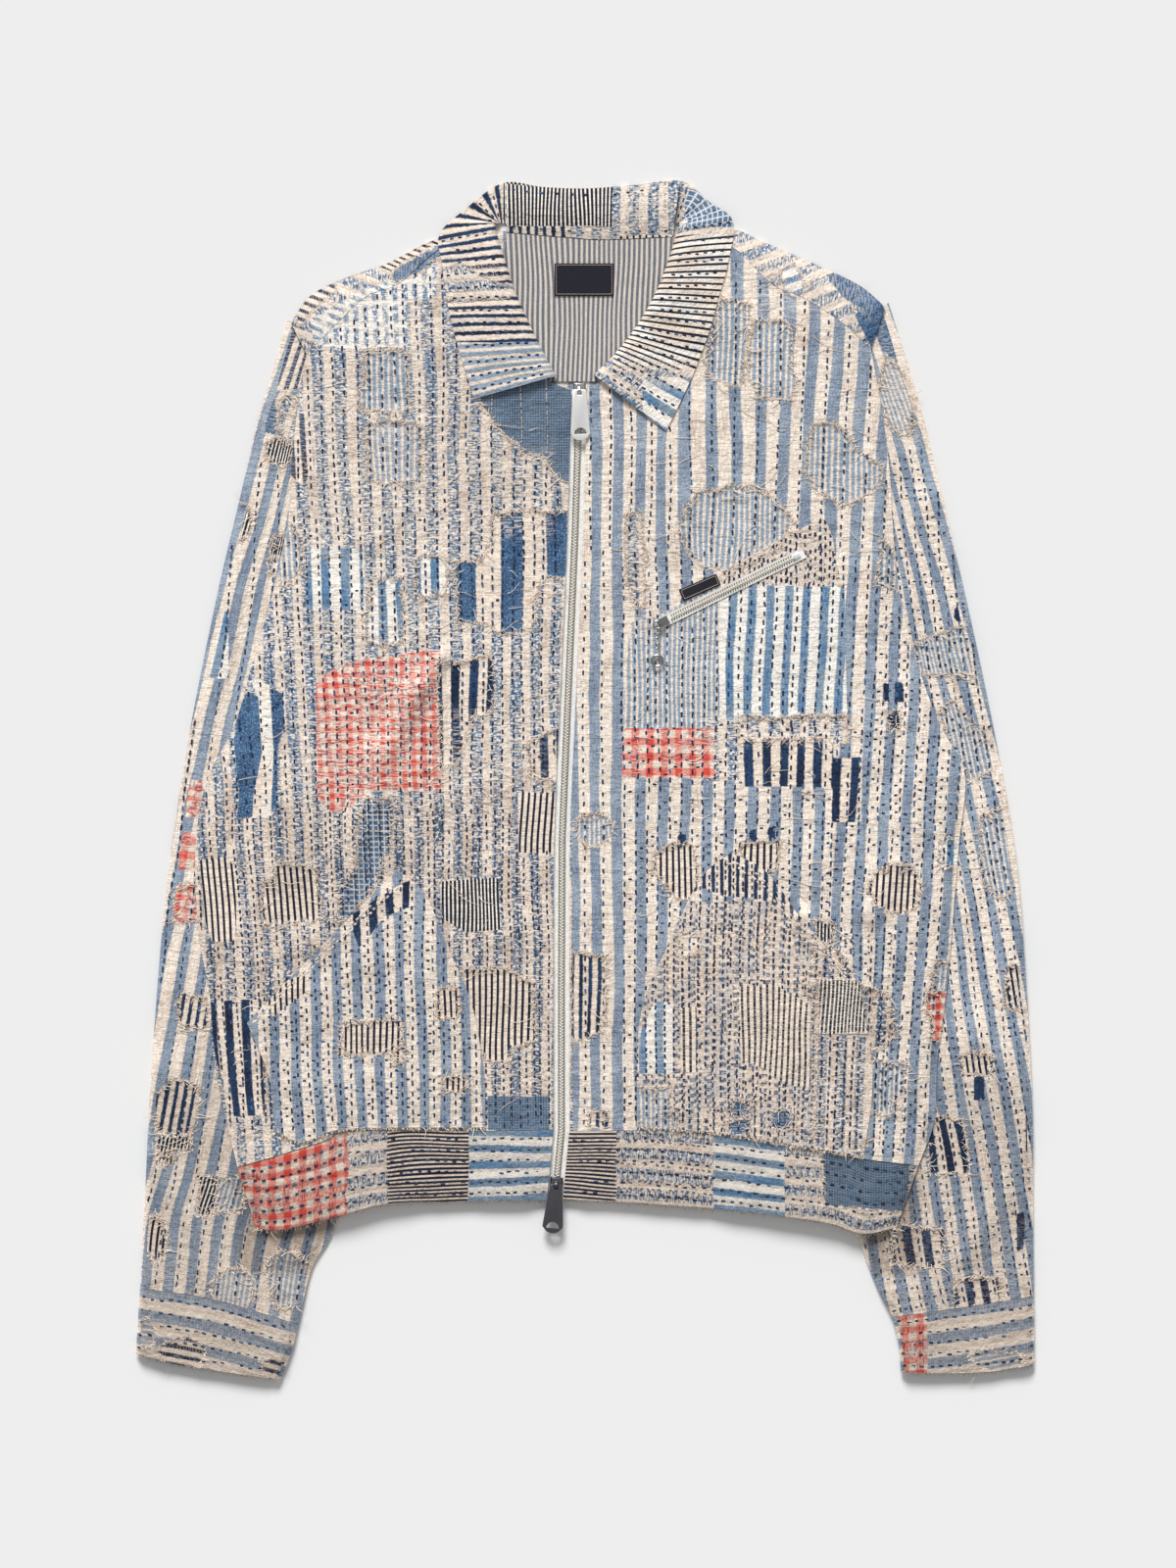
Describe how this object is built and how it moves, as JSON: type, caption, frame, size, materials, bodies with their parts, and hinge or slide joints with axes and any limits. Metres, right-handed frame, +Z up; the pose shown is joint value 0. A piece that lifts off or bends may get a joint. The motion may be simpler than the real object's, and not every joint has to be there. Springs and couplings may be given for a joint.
{
  "type": "patched boro zip jacket, laid flat",
  "caption": "Boxy zip-front jacket of patched, hand-stitched boro cotton laid flat face up, with a pointed collar, slanted chest zip, hand pockets, waistband and cuffs.",
  "frame": {"origin": "on the surface the jacket lies on, under the middle of its box", "axes": "+Z up off the surface, +Y from the hem to the collar, -X towards the wearer's right sleeve"},
  "size_m": [0.623, 0.831, 0.012],
  "materials": {
    "striped_cotton": "washed, frayed woven cotton in wide grey-blue and cream stripes with navy running stitches",
    "boro_cotton": "washed, frayed patchwork of striped and checked indigo cottons with navy running stitches",
    "ticking_lining": "plain woven ticking, narrow grey-blue and ecru stripes",
    "white_tape": "white woven zip tape",
    "black_label": "black woven label, left blank",
    "zip_teeth": "pale polished metal teeth",
    "nickel": "polished nickel",
    "gunmetal": "dark gunmetal, glossy"
  },
  "bodies": {
    "jacket": {"back": "striped_cotton", "back_lining": "ticking_lining", "band_back": "boro_cotton", "band_left": "boro_cotton", "band_right": "boro_cotton", "chest_tab": "black_label", "chest_zip_chain": "zip_teeth", "chest_zip_eye": "nickel", "chest_zip_slider": "nickel", "chest_zip_tape": "white_tape", "collar_fall": "boro_cotton", "collar_stand": "boro_cotton", "cuff_left": "boro_cotton", "cuff_right": "boro_cotton", "front_left": "striped_cotton", "front_right": "striped_cotton", "hand_pocket_left": "striped_cotton", "hand_pocket_right": "striped_cotton", "neck_label": "black_label", "sleeve_left": "striped_cotton", "sleeve_right": "striped_cotton", "yoke_left": "striped_cotton", "yoke_right": "striped_cotton", "zip_chain": "zip_teeth", "zip_slider_bottom": "gunmetal", "zip_slider_top": "nickel", "zip_tape_left": "white_tape", "zip_tape_right": "white_tape"},
    "top_pull": {"zip_pull_top": "nickel"},
    "bottom_pull": {"zip_pull_bottom": "gunmetal"},
    "chest_pull": {"chest_pull_link": "nickel", "chest_pull_chain": "nickel", "chest_pull_ring": "nickel"}
  },
  "joints": [
    {"name": "top_pull_hinge", "type": "hinge", "parent": "jacket", "child": "top_pull", "pos_m": [-0.004, 0.27, 0.0077], "axis": [-0.9997, -0.0262, 0], "range_deg": [0, 160]},
    {"name": "bottom_pull_hinge", "type": "hinge", "parent": "jacket", "child": "bottom_pull", "pos_m": [-0.02002, -0.2805, 0.0077], "axis": [-0.9962, 0.0872, 0], "range_deg": [0, 160]},
    {"name": "chest_pull_hinge", "type": "hinge", "parent": "jacket", "child": "chest_pull", "pos_m": [0.04986, 0.10508, 0.00982], "axis": [-1, 0, 0], "range_deg": [0, 100]}
  ]
}
